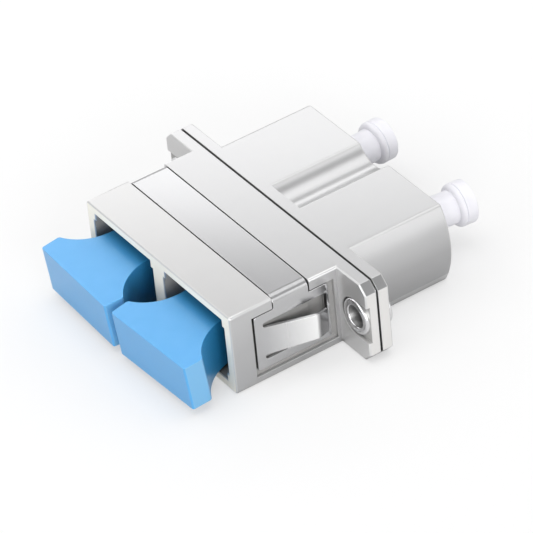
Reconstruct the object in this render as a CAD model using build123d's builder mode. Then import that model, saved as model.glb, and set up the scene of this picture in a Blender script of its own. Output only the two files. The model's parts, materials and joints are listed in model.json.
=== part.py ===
from build123d import *
import os

os.makedirs("parts", exist_ok=True)

# A two-port panel adapter that joins two large push-pull fibre plugs (front, -Y)
# to two small latched fibre plugs (rear, +Y). Millimetres.
# X runs across the ports, Y along the fibres, Z up. The origin lies between the two
# flange holes, on the flange face that seats on the panel.

# Driving dimensions of the two metal housings
port_pitch = 12.7
front_length = 12.9
rear_length = 11.16
side_wall = 1.2
port_rim = 1.0
plate_thickness = 1.42
ear_length = 4.85
ear_corner = 1.0
plate_edge_break = 0.14
body_edge_round = 0.3
front_edge_break = 0.12
parting_groove_width = 0.26
parting_groove_depth = 0.35

# Front ports
port_width = 10.7
port_height = 7.5
port_corner_run = 0.35
port_corner_rise = 0.85
key_slot_width = 2.4
key_slot_depth = 0.5
key_slot_length = 8.6
port_lead_in = 0.1

# Rear lobes and the channels between them
lobe_step = 0.05
lobe_shoulder = 1.5
channel_radius = 2.88
channel_depth = 1.45
lobe_edge_round = 0.5
channel_edge_round = 0.35
rear_edge_round = 0.15

# Rear ports
small_port_width = 4.7
latch_slot_width = 2.9
latch_slot_rise = 1.55
latch_pocket_width = 4.3
latch_shoulder = 1.9
latch_pocket_length = 4.2
small_port_lead_in = 0.2

# Flange holes and the two hollow rivets
hole_offset = 2.65
rivet_bore = 2.5
rivet_wall = 0.33
rivet_head_diameter = 4.1
rivet_head_height = 0.4
rivet_clearance = 0.05
ear_recess_width = 4.4
ear_recess_depth = 0.4

# Panel clip of spring steel
clip_thickness = 0.38
strap_start = -7.7
strap_end = -3.45
strap_side_gap = 0.12
strap_bend_radius = 0.95
clip_plate_start = -10.1
clip_plate_end = -1.2
clip_plate_top = 3.35
clip_plate_bottom = -3.27
clip_plate_corner = 0.3
clip_gap_front = 0.26
clip_gap_rear = 0.77
clip_gap_top = 0.1
clip_gap_bottom = 0.66
window_start = -9.1
window_end = -1.55
window_half_height = 2.25
window_corner = 0.25
tongue_root_half = 1.7
tongue_tip_half = 1.42
tongue_fold_y = -3.55
tongue_fold_rise = 1.6
tongue_fold_radius = 0.45
tongue_tip_y = -2.27
tongue_tip_drop = 0.37
tongue_pocket_depth = 0.4
tongue_pocket_length = 1.9

# Latch carriers behind the front ports
carrier_plate = 1.6
carrier_shoulder = 0.22
carrier_side_gap = 0.1
barrel_diameter = 4.2
barrel_recess = 4.5
barrel_lip = 0.5
barrel_mouth = 2.8
hook_gap_half = 3.75
hook_thickness = 0.95
hook_height = 2.5
hook_recess = 3.2
hook_nib = 0.33
hook_nib_length = 1.1

# Sleeve holders behind the rear ports
holder_plate = 1.38
holder_barrel_diameter = 2.5
holder_barrel_recess = 4.4
holder_lip = 0.5
holder_mouth = 1.4

# Stepped alignment sleeves
large_ferrule = 2.5
large_sleeve_wall = 0.35
small_ferrule = 1.25
small_sleeve_wall = 0.19
sleeve_gap = 0.05
sleeve_end_gap = 0.05
large_slit = 0.35
small_slit = 0.2

# Front dust caps: a wide grip, a waisted neck and a hollow plug
grip_taper = 0.34
grip_depth = 2.23
cap_slack = 2.02
cap_reach = 5.8
cap_neck_width = 6.4
waist_radius = 5.34
cap_plug_depth = 7.3
cap_bore_clearance = 0.27
cap_bore_beyond = 0.8
cap_edge_round = 0.2
cap_corner_round = 0.25
cap_hang_y = -7.0
cap_droop = 5.9
cap_splay = 2.2

# Rear dust caps: a round head on a hollow stem
stem_diameter = 3.62
stem_reach = 4.15
stem_depth = 7.0
stem_bore_clearance = 0.25
stem_bore_beyond = 0.7
collar_diameter = 4.74
collar_length = 0.65
collar_round = 0.55
head_diameter = 4.72
head_length = 1.27
head_crease = 0.07
head_edge_round = 0.14
rear_cap_hang_y = 7.5
rear_cap_droop = 0.5
rear_cap_splay = 3.9

# Places worked out from the dimensions above
parting_y = plate_thickness
flange_back_y = 2 * plate_thickness
front_face_y = -front_length
rear_face_y = flange_back_y + rear_length
body_width = port_pitch + port_width + 2 * side_wall
body_height = port_height + 2 * port_rim
flange_width = body_width + 2 * ear_length
hole_pitch = body_width + 2 * hole_offset
side_x = body_width / 2
top_z = body_height / 2
clip_floor_x = side_x - clip_thickness
clip_floor_z = top_z - clip_thickness
strap_length = strap_end - strap_start
carrier_front_y = parting_y - carrier_plate
holder_back_y = parting_y + holder_plate
barrel_tip_y = front_face_y + barrel_recess
holder_tip_y = rear_face_y - holder_barrel_recess
seat_width = port_width + 2 * carrier_shoulder
seat_height = port_height + 2 * carrier_shoulder
large_sleeve_diameter = large_ferrule + 2 * large_sleeve_wall
small_sleeve_diameter = small_ferrule + 2 * small_sleeve_wall
rivet_shank_diameter = rivet_bore + 2 * rivet_wall
recess_start = clip_plate_start - clip_gap_front
recess_end = clip_plate_end + clip_gap_rear
recess_top = clip_plate_top + clip_gap_top
recess_bottom = clip_plate_bottom - clip_gap_bottom
recess_length = recess_end - recess_start
recess_height = recess_top - recess_bottom
recess_middle_y = (recess_start + recess_end) / 2
recess_middle_z = (recess_top + recess_bottom) / 2
clip_plate_length = clip_plate_end - clip_plate_start
clip_plate_height = clip_plate_top - clip_plate_bottom
clip_plate_middle_y = (clip_plate_start + clip_plate_end) / 2
clip_plate_middle_z = (clip_plate_top + clip_plate_bottom) / 2
clip_plate_rim = (window_start - clip_plate_start) / 2
clip_middle_x = side_x - clip_thickness / 2
window_middle_y = (window_start + window_end) / 2
lobe_half_width = side_x - lobe_step
lobe_flat_half = side_x - lobe_shoulder
channel_centre_z = top_z - channel_depth + channel_radius
rivet_roll_radius = rivet_head_height / 2
hook_tip_y = front_face_y + hook_recess
optical_plane_y = parting_y - sleeve_end_gap - large_sleeve_wall
large_sleeve_length = parting_y - barrel_tip_y - barrel_lip - 2 * sleeve_end_gap
small_sleeve_length = holder_tip_y - holder_lip - parting_y
cap_height = port_height - cap_slack
grip_back_width = port_pitch
grip_front_width = grip_back_width - grip_taper
grip_front_y = front_face_y - cap_reach - cap_hang_y
grip_back_y = grip_front_y + grip_depth
waist_run = cap_neck_width / 2 + waist_radius - grip_back_width / 2
waist_end_y = grip_back_y + (waist_radius**2 - waist_run**2) ** 0.5
cap_tail_y = front_face_y + cap_plug_depth - cap_hang_y
cap_bore_depth = front_face_y + cap_plug_depth - barrel_tip_y + cap_bore_beyond
collar_start_y = rear_face_y + stem_reach - rear_cap_hang_y
head_start_y = collar_start_y + collar_length
head_end_y = head_start_y + head_length
stem_tail_y = rear_face_y - stem_depth - rear_cap_hang_y
stem_bore_radius = holder_barrel_diameter / 2 + stem_bore_clearance
stem_bore_bottom_y = holder_tip_y + stem_bore_beyond - rear_cap_hang_y


def across(y):
    """The plane across the fibres at y: its x is +X, its y is +Z, its normal is -Y."""
    return Plane.XZ.offset(-y)


def tilted(x, y, about_x, about_z):
    """A plane like XY at a point on a port axis, leaned about X and then about Z."""
    return Plane(Location((x, y, 0), (about_x, 0, about_z)))


def section_of(plane, y):
    """The plane across the leaned part, y along its own axis."""
    return Plane(plane.location * across(y).location)


def mouth_edges(builder, end):
    """Edges of the openings in the foremost (0) or rearmost (-1) face."""
    face = builder.faces().sort_by(Axis.Y)[end]
    return [edge for wire in face.inner_wires() for edge in wire.edges()]


def channel_creases(builder):
    """The four straight edges where the channels leave the top and bottom flats."""
    crease_x = (channel_radius**2 - (channel_radius - channel_depth) ** 2) ** 0.5
    along = builder.edges().filter_by(Axis.Y)
    return [e for e in along if abs(abs(e.center().X) - crease_x) < channel_edge_round]


def corner_edges(builder, plane):
    """Edges of the front cap that run along its own Z, at the grip's four corners."""
    upright = builder.edges().filter_by(Axis(plane.origin, plane.z_dir))
    return [e for e in upright if plane.to_local_coords(e.center()).Y < waist_end_y - cap_corner_round]


def face_edges(builder, plane):
    """Edges of the front cap's top and bottom faces, forward of the plug."""
    ends = builder.faces().filter_by(Axis(plane.origin, plane.z_dir)).edges()
    return [e for e in ends if plane.to_local_coords(e.center()).Y < cap_tail_y]


def flange_outline(y):
    """The flange's outline with cut corners, at y."""
    with BuildSketch(across(y)) as outline:
        Rectangle(flange_width, body_height)
        chamfer(outline.vertices(), length=ear_corner)
    return outline.sketch


def groove_outline(y):
    """The outermost strip of the flange's outline, as wide as the parting groove is deep."""
    with BuildSketch(across(y)) as strip:
        add(flange_outline(y))
        offset(flange_outline(y), amount=-parting_groove_depth, mode=Mode.SUBTRACT)
    return strip.sketch


# Front housing: a die-cast box with two ports and the front half of the flange
with BuildPart() as front_housing:
    extrude(flange_outline(0), amount=-plate_thickness)
    chamfer(front_housing.faces().sort_by(Axis.Y)[0].edges(), plate_edge_break)
    # Half of the fine groove that runs round the joint of the two flange plates
    extrude(groove_outline(parting_y), amount=parting_groove_width / 2, mode=Mode.SUBTRACT)
    with BuildSketch(across(plate_thickness / 2)) as body_outline:
        Rectangle(body_width, body_height)
        fillet(body_outline.vertices(), body_edge_round)
    extrude(amount=front_length + plate_thickness / 2)
    chamfer(front_housing.faces().sort_by(Axis.Y)[0].edges(), front_edge_break)
    # The two ports run right through, wider at the back where the carriers sit
    with BuildSketch(across(front_face_y)) as port_outline:
        with GridLocations(port_pitch, 0, 2, 1):
            Rectangle(port_width - 2 * port_corner_run, port_height)
            Rectangle(port_width, port_height - 2 * port_corner_rise)
    extrude(amount=-(front_length + parting_y), mode=Mode.SUBTRACT)
    with BuildSketch(across(front_face_y)) as key_slots:
        with Locations((0, -port_height / 2)):
            with GridLocations(port_pitch, 0, 2, 1):
                Rectangle(key_slot_width, 2 * key_slot_depth)
    extrude(amount=-key_slot_length, mode=Mode.SUBTRACT)
    chamfer(mouth_edges(front_housing, 0), port_lead_in)
    with BuildSketch(across(parting_y)) as carrier_seats:
        with GridLocations(port_pitch, 0, 2, 1):
            Rectangle(seat_width, seat_height)
    extrude(amount=carrier_plate, mode=Mode.SUBTRACT)
    # Ear recesses for the rivet heads, open at the flange's ends, and the holes
    with BuildSketch(across(0)) as ear_recesses:
        with GridLocations(hole_pitch, 0, 2, 1):
            Circle(ear_recess_width / 2)
        with GridLocations(flange_width, 0, 2, 1):
            Rectangle(flange_width - hole_pitch, ear_recess_width)
    extrude(amount=-ear_recess_depth, mode=Mode.SUBTRACT)
    with BuildSketch(across(0)) as front_rivet_holes:
        with GridLocations(hole_pitch, 0, 2, 1):
            Circle(rivet_shank_diameter / 2 + rivet_clearance)
    extrude(amount=-parting_y, mode=Mode.SUBTRACT)
    # A shallow channel for the clip's strap, over the top and down to its side plates
    with BuildSketch(across(strap_start - strap_side_gap)) as strap_channel:
        with Locations((0, clip_plate_top)):
            Rectangle(2 * body_width, body_height, align=(Align.CENTER, Align.MIN))
        with BuildSketch(across(strap_start - strap_side_gap), mode=Mode.SUBTRACT) as core:
            Rectangle(2 * clip_floor_x, 2 * clip_floor_z)
            fillet(core.vertices(), strap_bend_radius - clip_thickness)
    extrude(amount=-(strap_length + 2 * strap_side_gap), mode=Mode.SUBTRACT)
    # A recess in each side for the clip's plate, and a pocket the tongue's tip can enter
    for side in (-1, 1):
        with BuildSketch(Plane.YZ.offset(side * side_x)) as plate_recess:
            with Locations((recess_middle_y, recess_middle_z)):
                Rectangle(recess_length, recess_height)
        extrude(amount=-side * clip_thickness, mode=Mode.SUBTRACT)
        with BuildSketch(Plane.YZ.offset(side * clip_floor_x)) as tongue_pocket:
            with Locations((window_end, 0)):
                Rectangle(
                    tongue_pocket_length,
                    2 * window_half_height,
                    align=(Align.MAX, Align.CENTER),
                )
        extrude(amount=-side * tongue_pocket_depth, mode=Mode.SUBTRACT)
front_housing.part.label = "front_housing"
export_step(front_housing.part, "parts/front_housing.step")

# Rear housing: the flange's rear half and two lobes, one round each small port
with BuildPart() as rear_housing:
    extrude(flange_outline(parting_y), amount=-plate_thickness)
    chamfer(rear_housing.faces().sort_by(Axis.Y)[-1].edges(), plate_edge_break)
    extrude(groove_outline(parting_y), amount=-parting_groove_width / 2, mode=Mode.SUBTRACT)
    with BuildSketch(across(flange_back_y - plate_thickness / 2)) as lobes:
        with BuildLine() as lobe_line:
            Line((-lobe_flat_half, top_z), (lobe_flat_half, top_z))
            ThreePointArc((lobe_flat_half, top_z), (lobe_half_width, 0), (lobe_flat_half, -top_z))
            Line((lobe_flat_half, -top_z), (-lobe_flat_half, -top_z))
            ThreePointArc((-lobe_flat_half, -top_z), (-lobe_half_width, 0), (-lobe_flat_half, top_z))
        make_face()
        fillet(lobes.vertices(), lobe_edge_round)
    extrude(amount=-(rear_length + plate_thickness / 2))
    with BuildSketch(across(flange_back_y)) as channels:
        with Locations((0, channel_centre_z), (0, -channel_centre_z)):
            Circle(channel_radius)
    extrude(amount=-rear_length, mode=Mode.SUBTRACT)
    fillet(channel_creases(rear_housing), channel_edge_round)
    chamfer(rear_housing.faces().sort_by(Axis.Y)[-1].edges(), rear_edge_round)
    # Small ports: a square channel, a slot for the plug's latch and a pocket behind its catch
    with BuildSketch(across(rear_face_y)) as small_ports:
        with GridLocations(port_pitch, 0, 2, 1):
            Rectangle(small_port_width, small_port_width)
        with Locations((0, small_port_width / 2)):
            with GridLocations(port_pitch, 0, 2, 1):
                Rectangle(
                    latch_slot_width,
                    latch_slot_rise,
                    align=(Align.CENTER, Align.MIN),
                )
    extrude(amount=rear_face_y - holder_back_y, mode=Mode.SUBTRACT)
    chamfer(mouth_edges(rear_housing, -1), small_port_lead_in)
    with BuildSketch(across(rear_face_y - latch_shoulder)) as latch_pockets:
        with Locations((0, small_port_width / 2)):
            with GridLocations(port_pitch, 0, 2, 1):
                Rectangle(
                    latch_pocket_width,
                    latch_slot_rise,
                    align=(Align.CENTER, Align.MIN),
                )
    extrude(amount=latch_pocket_length, mode=Mode.SUBTRACT)
    with BuildSketch(across(parting_y)) as holder_seats:
        with GridLocations(port_pitch, 0, 2, 1):
            Rectangle(seat_width, seat_height)
    extrude(amount=-holder_plate, mode=Mode.SUBTRACT)
    with BuildSketch(across(parting_y)) as rear_rivet_holes:
        with GridLocations(hole_pitch, 0, 2, 1):
            Circle(rivet_shank_diameter / 2 + rivet_clearance)
    extrude(amount=-plate_thickness, mode=Mode.SUBTRACT)
rear_housing.part.label = "rear_housing"
export_step(rear_housing.part, "parts/rear_housing.step")

# Panel clip: one strip of spring steel over the top, with a plate and a tongue each side
with BuildPart() as right_tongue:
    with BuildSketch(Plane.XY) as tongue_profile:
        with BuildLine() as tongue_line:
            FilletPolyline(
                (clip_middle_x, window_start - clip_plate_rim),
                (clip_middle_x, window_start),
                (clip_middle_x + tongue_fold_rise, tongue_fold_y),
                (clip_middle_x + tongue_fold_rise - tongue_tip_drop, tongue_tip_y),
                radius=tongue_fold_radius,
            )
        trace(line_width=clip_thickness)
    extrude(amount=tongue_root_half, both=True)
    with BuildSketch(Plane.YZ) as tongue_taper:
        with BuildLine() as taper_line:
            Polyline(
                (window_start - clip_plate_rim - clip_thickness, tongue_root_half),
                (window_start, tongue_root_half),
                (tongue_tip_y + clip_thickness, tongue_tip_half),
                (tongue_tip_y + clip_thickness, -tongue_tip_half),
                (window_start, -tongue_root_half),
                (window_start - clip_plate_rim - clip_thickness, -tongue_root_half),
                close=True,
            )
        make_face()
    extrude(amount=body_width, mode=Mode.INTERSECT)

with BuildPart() as panel_clip:
    with BuildSketch(across(strap_start)) as strap_outline:
        Rectangle(body_width, body_height)
        fillet(strap_outline.vertices(), strap_bend_radius)
        with BuildSketch(across(strap_start), mode=Mode.SUBTRACT) as strap_inner:
            Rectangle(2 * clip_floor_x, 2 * clip_floor_z)
            fillet(strap_inner.vertices(), strap_bend_radius - clip_thickness)
        with Locations((0, clip_plate_middle_z)):
            Rectangle(
                2 * body_width,
                body_height,
                align=(Align.CENTER, Align.MAX),
                mode=Mode.SUBTRACT,
            )
    extrude(amount=-strap_length)
    for side in (-1, 1):
        with BuildSketch(Plane.YZ.offset(side * side_x)) as clip_plate:
            with Locations((clip_plate_middle_y, clip_plate_middle_z)):
                RectangleRounded(clip_plate_length, clip_plate_height, clip_plate_corner)
            with Locations((window_middle_y, 0)):
                RectangleRounded(
                    window_end - window_start,
                    2 * window_half_height,
                    window_corner,
                    mode=Mode.SUBTRACT,
                )
        extrude(amount=-side * clip_thickness)
    add(right_tongue.part)
    add(mirror(right_tongue.part, about=Plane.YZ, mode=Mode.PRIVATE))
panel_clip.part.label = "panel_clip"
export_step(panel_clip.part, "parts/panel_clip.step")

# Hollow rivets that hold the two flange plates together and pass the panel screws
for side, name in ((-1, "rivet_left"), (1, "rivet_right")):
    rivet_plane = Plane((side * hole_pitch / 2, 0, 0), x_dir=(1, 0, 0), z_dir=(0, 0, 1))
    with BuildPart() as rivet:
        with BuildSketch(rivet_plane) as rivet_section:
            with Locations((rivet_bore / 2, ear_recess_depth)):
                Rectangle(
                    rivet_wall,
                    flange_back_y - ear_recess_depth,
                    align=(Align.MIN, Align.MIN),
                )
            for head_y, head_align in ((ear_recess_depth, Align.MAX), (flange_back_y, Align.MIN)):
                with Locations((rivet_bore / 2, head_y)):
                    Rectangle(
                        (rivet_head_diameter - rivet_bore) / 2,
                        rivet_head_height,
                        align=(Align.MIN, head_align),
                    )
            rolled = rivet_section.vertices().group_by(Axis.Y)
            fillet(rolled[0] + rolled[-1], rivet_roll_radius)
        revolve(axis=Axis((side * hole_pitch / 2, 0, 0), (0, 1, 0)))
    rivet.part.label = name
    export_step(rivet.part, f"parts/{name}.step")

for side, hand in ((-1, "left"), (1, "right")):
    port_x = side * port_pitch / 2
    fibre_axis = Axis((port_x, 0, 0), (0, 1, 0))

    # Latch carrier: a plate with a sleeve barrel and two hooked spring arms
    with BuildPart() as carrier:
        with BuildSketch(across(parting_y)) as carrier_outline:
            with Locations((port_x, 0)):
                Rectangle(seat_width - 2 * carrier_side_gap, seat_height - 2 * carrier_side_gap)
        extrude(amount=carrier_plate)
        with BuildSketch(Plane.XY) as hook_outline:
            for way in (-1, 1):
                with BuildLine() as hook_line:
                    Polyline(
                        (port_x + way * hook_gap_half, carrier_front_y),
                        (port_x + way * hook_gap_half, hook_tip_y + hook_nib_length),
                        (port_x + way * (hook_gap_half - hook_nib), hook_tip_y + hook_nib_length),
                        (port_x + way * (hook_gap_half - hook_nib), hook_tip_y + hook_nib_length / 2),
                        (port_x + way * (hook_gap_half + hook_nib), hook_tip_y),
                        (port_x + way * (hook_gap_half + hook_thickness), hook_tip_y),
                        (port_x + way * (hook_gap_half + hook_thickness), carrier_front_y),
                        close=True,
                    )
                make_face()
        extrude(amount=hook_height / 2, both=True)
        with BuildSketch(across(barrel_tip_y)) as barrel_outline:
            with Locations((port_x, 0)):
                Circle(barrel_diameter / 2)
        extrude(amount=barrel_tip_y - carrier_front_y)
        with BuildSketch(across(parting_y)) as sleeve_bore:
            with Locations((port_x, 0)):
                Circle(large_sleeve_diameter / 2 + sleeve_gap)
        extrude(amount=parting_y - barrel_tip_y - barrel_lip, mode=Mode.SUBTRACT)
        with BuildSketch(across(barrel_tip_y)) as barrel_mouth_outline:
            with Locations((port_x, 0)):
                Circle(barrel_mouth / 2)
        extrude(amount=-2 * barrel_lip, mode=Mode.SUBTRACT)
    carrier.part.label = f"latch_carrier_{hand}"
    export_step(carrier.part, f"parts/latch_carrier_{hand}.step")

    # Sleeve holder: a plate clamped behind the carrier, with a slender barrel
    with BuildPart() as holder:
        with BuildSketch(across(parting_y)) as holder_outline:
            with Locations((port_x, 0)):
                Rectangle(seat_width - 2 * carrier_side_gap, seat_height - 2 * carrier_side_gap)
        extrude(amount=-holder_plate)
        with BuildSketch(across(holder_back_y)) as holder_barrel_outline:
            with Locations((port_x, 0)):
                Circle(holder_barrel_diameter / 2)
        extrude(amount=-(holder_tip_y - holder_back_y))
        with BuildSketch(across(parting_y)) as small_sleeve_bore:
            with Locations((port_x, 0)):
                Circle(small_sleeve_diameter / 2 + sleeve_gap)
        extrude(amount=-(holder_tip_y - holder_lip - parting_y), mode=Mode.SUBTRACT)
        with BuildSketch(across(holder_tip_y)) as holder_mouth_outline:
            with Locations((port_x, 0)):
                Circle(holder_mouth / 2)
        extrude(amount=2 * holder_lip, mode=Mode.SUBTRACT)
    holder.part.label = f"sleeve_holder_{hand}"
    export_step(holder.part, f"parts/sleeve_holder_{hand}.step")

    # Alignment sleeve: large bore in front, small bore behind, slit along the top
    with BuildPart() as sleeve:
        with BuildSketch(across(parting_y - sleeve_end_gap)) as large_ring:
            with Locations((port_x, 0)):
                Circle(large_sleeve_diameter / 2)
        extrude(amount=large_sleeve_length)
        with BuildSketch(across(parting_y - sleeve_end_gap)) as small_ring:
            with Locations((port_x, 0)):
                Circle(small_sleeve_diameter / 2)
        extrude(amount=-small_sleeve_length)
        with BuildSketch(across(barrel_tip_y)) as large_bore:
            with Locations((port_x, 0)):
                Circle(large_ferrule / 2)
        extrude(amount=barrel_tip_y - optical_plane_y, mode=Mode.SUBTRACT)
        with BuildSketch(across(holder_tip_y)) as small_bore:
            with Locations((port_x, 0)):
                Circle(small_ferrule / 2)
        extrude(amount=holder_tip_y - barrel_tip_y, mode=Mode.SUBTRACT)
        with BuildSketch(Plane.XY) as slits:
            with Locations((port_x, optical_plane_y)):
                Rectangle(
                    large_slit,
                    optical_plane_y - barrel_tip_y,
                    align=(Align.CENTER, Align.MAX),
                )
            with Locations((port_x, parting_y)):
                Rectangle(
                    small_slit,
                    holder_tip_y - parting_y,
                    align=(Align.CENTER, Align.MIN),
                )
        extrude(amount=large_sleeve_diameter, mode=Mode.SUBTRACT)
    sleeve.part.label = f"alignment_sleeve_{hand}"
    export_step(sleeve.part, f"parts/alignment_sleeve_{hand}.step")

    # Front dust cap: it hangs loosely on the barrel, so its grip droops and leans outwards
    cap_plane = tilted(port_x, cap_hang_y, cap_droop, side * cap_splay)
    with BuildPart() as front_cap:
        with BuildSketch(cap_plane.offset(-cap_height / 2)) as grip_outline:
            with BuildLine() as grip_line:
                Polyline(
                    (-cap_neck_width / 2, waist_end_y),
                    (-cap_neck_width / 2, cap_tail_y),
                    (cap_neck_width / 2, cap_tail_y),
                    (cap_neck_width / 2, waist_end_y),
                )
                RadiusArc(
                    (cap_neck_width / 2, waist_end_y),
                    (grip_back_width / 2, grip_back_y),
                    -waist_radius,
                )
                Polyline(
                    (grip_back_width / 2, grip_back_y),
                    (grip_front_width / 2, grip_front_y),
                    (-grip_front_width / 2, grip_front_y),
                    (-grip_back_width / 2, grip_back_y),
                )
                RadiusArc(
                    (-grip_back_width / 2, grip_back_y),
                    (-cap_neck_width / 2, waist_end_y),
                    -waist_radius,
                )
            make_face()
        extrude(amount=cap_height)
        fillet(corner_edges(front_cap, cap_plane), cap_corner_round)
        fillet(face_edges(front_cap, cap_plane), cap_edge_round)
        with BuildSketch(section_of(cap_plane, cap_tail_y)) as cap_bore:
            Circle(barrel_diameter / 2 + cap_bore_clearance)
        extrude(amount=cap_bore_depth, mode=Mode.SUBTRACT)
    front_cap.part.label = f"front_dust_cap_{hand}"
    export_step(front_cap.part, f"parts/front_dust_cap_{hand}.step")

    # Rear dust cap: a turned-looking moulding whose hollow stem covers the slender barrel
    rear_cap_plane = tilted(port_x, rear_cap_hang_y, -rear_cap_droop, -side * rear_cap_splay)
    with BuildPart() as rear_cap:
        with BuildSketch(rear_cap_plane) as rear_cap_section:
            with BuildLine() as rear_cap_line:
                Polyline(
                    (0, stem_bore_bottom_y),
                    (stem_bore_radius, stem_bore_bottom_y),
                    (stem_bore_radius, stem_tail_y),
                    (stem_diameter / 2, stem_tail_y),
                    (stem_diameter / 2, collar_start_y),
                    (collar_diameter / 2 - collar_round, collar_start_y),
                )
                RadiusArc(
                    (collar_diameter / 2 - collar_round, collar_start_y),
                    (collar_diameter / 2, collar_start_y + collar_round),
                    -collar_round,
                )
                Polyline(
                    (collar_diameter / 2, collar_start_y + collar_round),
                    (collar_diameter / 2, head_start_y - head_crease),
                    (collar_diameter / 2 - 2 * head_crease, head_start_y),
                    (head_diameter / 2, head_start_y + head_crease),
                    (head_diameter / 2, head_end_y - head_edge_round),
                )
                RadiusArc(
                    (head_diameter / 2, head_end_y - head_edge_round),
                    (head_diameter / 2 - head_edge_round, head_end_y),
                    -head_edge_round,
                )
                Polyline(
                    (head_diameter / 2 - head_edge_round, head_end_y),
                    (0, head_end_y),
                    (0, stem_bore_bottom_y),
                )
            make_face()
        revolve(axis=Axis(rear_cap_plane.origin, rear_cap_plane.y_dir))
    rear_cap.part.label = f"rear_dust_cap_{hand}"
    export_step(rear_cap.part, f"parts/rear_dust_cap_{hand}.step")
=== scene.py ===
# %% [markdown]
# # A duplex hybrid fibre adapter
# The object is a small metal panel adapter. Two large push-pull fibre plugs enter its front, and two
# small latched plugs enter its rear. Blue and white dust caps close the four ports until the plugs come.
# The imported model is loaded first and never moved, because it fixes every size and place. The pieces
# below are then made to those sizes, with the rounded edges and the finishes that a plain model lacks.

# %% Load the fixed frame
import bpy
import bmesh
import json
import math
from mathutils import Matrix, Vector

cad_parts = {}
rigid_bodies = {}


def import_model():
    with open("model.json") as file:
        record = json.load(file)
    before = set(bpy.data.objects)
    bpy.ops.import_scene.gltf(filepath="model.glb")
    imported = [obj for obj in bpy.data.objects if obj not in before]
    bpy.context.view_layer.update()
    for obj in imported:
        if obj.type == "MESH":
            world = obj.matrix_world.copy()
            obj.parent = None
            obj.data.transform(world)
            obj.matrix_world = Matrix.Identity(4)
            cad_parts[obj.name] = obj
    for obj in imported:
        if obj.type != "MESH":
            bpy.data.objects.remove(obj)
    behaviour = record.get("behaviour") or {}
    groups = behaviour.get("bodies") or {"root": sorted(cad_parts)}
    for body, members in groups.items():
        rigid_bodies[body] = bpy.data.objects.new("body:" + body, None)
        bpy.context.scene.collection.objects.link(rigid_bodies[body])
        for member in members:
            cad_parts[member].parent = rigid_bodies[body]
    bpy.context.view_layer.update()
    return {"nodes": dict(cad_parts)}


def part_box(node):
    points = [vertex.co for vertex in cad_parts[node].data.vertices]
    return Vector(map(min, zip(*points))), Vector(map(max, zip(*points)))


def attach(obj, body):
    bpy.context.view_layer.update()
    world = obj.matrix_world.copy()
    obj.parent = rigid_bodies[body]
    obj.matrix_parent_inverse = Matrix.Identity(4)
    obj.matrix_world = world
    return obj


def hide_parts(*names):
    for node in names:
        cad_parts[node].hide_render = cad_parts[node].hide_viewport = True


for leftover in list(bpy.data.objects):
    bpy.data.objects.remove(leftover)
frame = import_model()
nodes = frame["nodes"]


# %% [markdown]
# ## The camera
# The photograph was taken from the adapter's front right, well above it, with a long lens, so that
# parallel edges stay almost parallel. The camera's place and turn come from fitting some sixty corners of
# the object, and they are written here as one point and three directions. A matrix made from those
# directions is clearer than three angles, because each column says where one side of the picture points.

# %% Camera
camera_place = Vector((0.33998, -0.20544, 0.29942))
picture_right = Vector((0.56789, 0.81894, -0.08275))
picture_up = Vector((-0.46175, 0.40018, 0.79161))
picture_back = Vector((0.68139, -0.41134, 0.60540))
camera_data = bpy.data.cameras.new("photo_camera")
camera_data.sensor_width = 36.0
camera_data.lens = 331.4
camera_data.clip_start = 0.01
camera_data.clip_end = 10.0
camera = bpy.data.objects.new("photo_camera", camera_data)
camera_turn = Matrix((picture_right, picture_up, picture_back)).transposed()
camera.matrix_world = Matrix.Translation(camera_place) @ camera_turn.to_4x4()
bpy.context.scene.collection.objects.link(camera)
bpy.context.scene.camera = camera
bpy.context.scene.view_settings.view_transform = "Standard"
print("camera", round(1000 * camera_place.length), "mm from the origin")

# %% [markdown]
# ## Small helpers for the modelling
# The pieces are drawn in millimetres, as on a workshop drawing, and turned to metres once, when they are
# done. Each real edge of a casting, a stamping or a moulding is a little round and catches a line of
# light, so every hard edge gets a narrow bevel. The same bevel also rounds the corners of a flat outline
# that is spun or raised later.

# %% Helpers that find and shape edges
MM = 0.001
HANDS = ((-1, "left"), (1, "right"))


def hard_edges(bm, degrees):
    """The edges whose two faces meet at more than this angle."""
    found = []
    for edge in bm.edges:
        if len(edge.link_faces) == 2 and edge.calc_face_angle(0) > math.radians(degrees):
            found.append(edge)
    return found


def bevel(bm, geometry, width, segments, affect="EDGES", clamp=True):
    """Rounds edges, or the corners of a flat outline, and returns the new faces."""
    result = bmesh.ops.bevel(
        bm, geom=geometry, offset=width, offset_type="OFFSET", segments=segments,
        profile=0.5, affect=affect, clamp_overlap=clamp, material=-1)
    return result["faces"]


def everything(bm):
    """All that a bmesh holds, in the form that its operators take."""
    return list(bm.verts) + list(bm.edges) + list(bm.faces)


def only(kind, items):
    """Those of an operator's results that are of one kind."""
    return [item for item in items if isinstance(item, kind)]


def largest_face(faces):
    """The largest of some faces, which is the outline once its corners are rounded."""
    return max(faces, key=lambda face: face.calc_area())


def drop_face(bm, face):
    """Drops a face, keeps its edges and returns them."""
    edges = list(face.edges)
    bmesh.ops.delete(bm, geom=[face], context="FACES_ONLY")
    return edges


# %% [markdown]
# Every piece is finished in the same way. It becomes an object, it rides on a body of the model, and it
# stands for the model's own piece, which is then hidden. The model sets the size, so a rounded form that
# swells past the box of its model piece is pressed back to it.

# %% Helpers that finish a piece
finished_pieces = []


def stay_in_box(bm, node):
    """Moves every vertex that stands out of the box of its node back to that box."""
    low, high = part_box(node)
    for vert in bm.verts:
        for axis in range(3):
            vert.co[axis] = min(max(vert.co[axis], low[axis] / MM), high[axis] / MM)


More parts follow.
